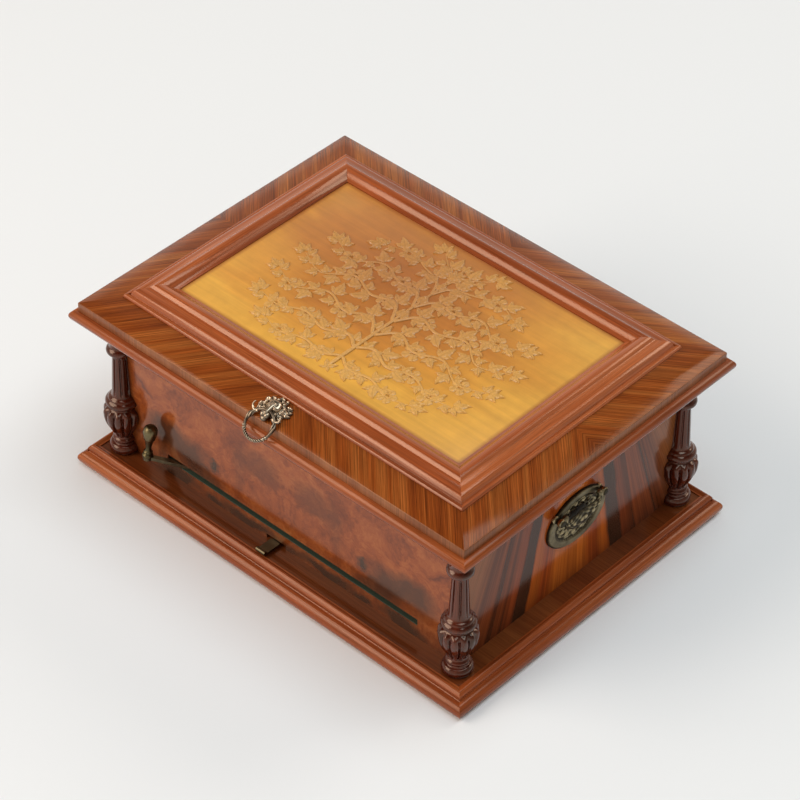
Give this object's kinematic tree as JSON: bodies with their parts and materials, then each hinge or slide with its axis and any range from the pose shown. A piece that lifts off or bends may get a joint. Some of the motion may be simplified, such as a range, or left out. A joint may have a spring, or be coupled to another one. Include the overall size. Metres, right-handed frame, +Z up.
{
  "type": "wind up music box",
  "caption": "Wind-up disc music box: a columned walnut case with a hinged inlaid lid, drop handles, a ring pull, a winding lever in a slot and a comb movement inside.",
  "frame": {"origin": "on the table, under the middle of the case", "axes": "+X towards the object's own left-to-right as seen from the front, +Y towards the lid hinges, +Z up; the front with the lever slot faces -Y"},
  "size_m": [0.5018, 0.3886, 0.224],
  "materials": {
    "deck_wood": "dark brown polished walnut, fine straight grain",
    "moulding_wood": "orange-brown polished moulding",
    "front_burl": "reddish brown burl veneer, French polished",
    "side_veneer": "brown veneer with dark upright streaks, French polished",
    "column_wood": "near-black red-brown turned hardwood, high polish",
    "lid_veneer": "orange-brown veneer with dark bands, mitred",
    "lid_moulding_wood": "orange-brown polished picture-frame moulding",
    "lid_inlay": "golden inlaid and carved panel",
    "lining_felt": "dark green baize",
    "antique_bronze": "cast bronze with a dark green-brown patina",
    "antique_brass": "worn brass",
    "bedplate_metal": "cast iron, bronzed",
    "gear_brass": "machined brass",
    "tool_steel": "ground steel",
    "spring_steel": "blued spring steel",
    "disc_steel": "punched sheet steel, lightly tarnished"
  },
  "bodies": {
    "cabinet": {"base_board": "deck_wood", "base_moulding": "moulding_wood", "cornice": "moulding_wood", "front_panel": "front_burl", "back_panel": "side_veneer", "left_panel": "side_veneer", "right_panel": "side_veneer", "corner_posts": "front_burl", "front_columns": "column_wood", "back_columns": "column_wood", "lever_slot_felt": "lining_felt", "handle_plates": "antique_bronze", "hinge_case_leaves": "antique_brass", "hinge_pins": "tool_steel", "stay_case_bracket": "antique_brass", "cabinet_screws": "tool_steel", "lower_plate": "gear_brass", "bedplate": "bedplate_metal", "bedplate_pillars": "tool_steel", "comb_left": "tool_steel", "comb_right": "tool_steel", "comb_bases": "bedplate_metal", "star_shaft": "gear_brass", "governor_frame": "gear_brass", "pivot_posts": "tool_steel", "pressure_bar_supports": "gear_brass"},
    "lid": {"lid_frame": "lid_veneer", "lid_moulding": "lid_moulding_wood", "lid_panel": "lid_inlay", "lid_lining": "lining_felt", "hinge_lid_leaves": "antique_brass", "hinge_lid_screws": "tool_steel", "pull_mask": "antique_bronze", "stay_lid_bracket": "antique_brass"},
    "lid_stay": {"lid_stay_link": "antique_brass"},
    "ring": {"pull_ring": "antique_bronze"},
    "handle_left": {"handle_bail_left": "antique_bronze"},
    "handle_right": {"handle_bail_right": "antique_bronze"},
    "lever": {"winding_lever": "tool_steel", "lever_knob": "antique_brass"},
    "pawl": {"lever_pawl": "tool_steel"},
    "arbor": {"winding_arbor": "tool_steel", "ratchet_wheel": "tool_steel"},
    "click": {"ratchet_click": "tool_steel"},
    "barrel": {"spring_barrel": "gear_brass", "barrel_cover": "gear_brass", "mainspring": "spring_steel"},
    "disc_drive": {"centre_spindle": "tool_steel", "spindle_wheel": "gear_brass", "music_disc": "disc_steel"},
    "governor": {"governor_arbor": "tool_steel", "worm_wheel": "gear_brass"},
    "fan": {"fan_worm": "tool_steel", "governor_fan": "gear_brass"},
    "star_wheels": {"star_wheels": "gear_brass"},
    "stop_lever": {"stop_lever": "antique_brass"},
    "pressure_bar": {"pressure_bar": "antique_brass"},
    "roller_inner": {"pressure_roller_inner": "gear_brass"},
    "roller_outer": {"pressure_roller_outer": "gear_brass"}
  },
  "joints": [
    {"name": "lid_hinge", "type": "hinge", "parent": "cabinet", "child": "lid", "pos_m": [0, 0.1849, 0.194], "axis": [-1, 0, 0], "range_deg": [0, 95]},
    {"name": "stay_pivot", "type": "hinge", "parent": "lid", "child": "lid_stay", "pos_m": [0.199, 0.09292, 0.196], "axis": [-1, 0, 0], "range_deg": [-47.5, 0]},
    {"name": "ring_swing", "type": "hinge", "parent": "lid", "child": "ring", "pos_m": [0, -0.174, 0.212], "axis": [-1, 0, 0], "range_deg": [0, 100]},
    {"name": "handle_left_lift", "type": "hinge", "parent": "cabinet", "child": "handle_left", "pos_m": [-0.2235, 0.005, 0.118], "axis": [0, 1, 0], "range_deg": [0, 90]},
    {"name": "handle_right_lift", "type": "hinge", "parent": "cabinet", "child": "handle_right", "pos_m": [0.2235, 0.005, 0.118], "axis": [0, -1, 0], "range_deg": [0, 90]},
    {"name": "winding_lever_swing", "type": "hinge", "parent": "cabinet", "child": "lever", "pos_m": [0, -0.086, 0.042], "axis": [0, 0, 1], "range_deg": [0, 128]},
    {"name": "arbor_turn", "type": "hinge", "parent": "cabinet", "child": "arbor", "pos_m": [0, -0.086, 0.06], "axis": [0, 0, 1], "range_deg": [0, 128]},
    {"name": "pawl_lift", "type": "hinge", "parent": "lever", "child": "pawl", "pos_m": [-0.03089, -0.10021, 0.0465], "axis": [0, 0, -1], "range_deg": [0, 12], "stiffness_Nm_per_rad": 0.01},
    {"name": "click_lift", "type": "hinge", "parent": "cabinet", "child": "click", "pos_m": [0.00314, -0.05214, 0.0465], "axis": [0, 0, -1], "range_deg": [0, 12], "stiffness_Nm_per_rad": 0.01},
    {"name": "disc_turn", "type": "hinge", "parent": "cabinet", "child": "disc_drive", "pos_m": [0, 0, 0.138], "axis": [0, 0, 1], "continuous": true},
    {"name": "barrel_turn", "type": "hinge", "parent": "cabinet", "child": "barrel", "pos_m": [0, -0.086, 0.07], "axis": [0, 0, 1], "continuous": true},
    {"name": "governor_turn", "type": "hinge", "parent": "cabinet", "child": "governor", "pos_m": [0.05602, -0.10101, 0.07], "axis": [0, 0, 1], "continuous": true},
    {"name": "fan_spin", "type": "hinge", "parent": "cabinet", "child": "fan", "pos_m": [0.089, -0.07801, 0.117], "axis": [1, 0, 0], "continuous": true},
    {"name": "star_wheels_turn", "type": "hinge", "parent": "cabinet", "child": "star_wheels", "pos_m": [0, 0.072, 0.1275], "axis": [0, 1, 0], "continuous": true},
    {"name": "stop_lever_swing", "type": "hinge", "parent": "cabinet", "child": "stop_lever", "pos_m": [-0.015, -0.128, 0.03], "axis": [0, 0, -1], "range_deg": [0, 12]},
    {"name": "pressure_bar_lift", "type": "hinge", "parent": "cabinet", "child": "pressure_bar", "pos_m": [0, 0.13, 0.1511], "axis": [-1, 0, 0], "range_deg": [0, 8]},
    {"name": "roller_inner_turn", "type": "hinge", "parent": "pressure_bar", "child": "roller_inner", "pos_m": [0, 0.06, 0.1436], "axis": [0, 1, 0], "continuous": true},
    {"name": "roller_outer_turn", "type": "hinge", "parent": "pressure_bar", "child": "roller_outer", "pos_m": [0, 0.108, 0.1436], "axis": [0, 1, 0], "continuous": true}
  ],
  "couplings": [
    {"joint": "stay_pivot", "follows": "lid_hinge", "ratio": -0.5},
    {"joint": "arbor_turn", "follows": "winding_lever_swing", "ratio": 1},
    {"joint": "barrel_turn", "follows": "disc_turn", "ratio": -0.72},
    {"joint": "governor_turn", "follows": "disc_turn", "ratio": 4.5},
    {"joint": "fan_spin", "follows": "disc_turn", "ratio": 81},
    {"joint": "roller_inner_turn", "follows": "disc_turn", "ratio": 13.333},
    {"joint": "roller_outer_turn", "follows": "disc_turn", "ratio": 24}
  ]
}
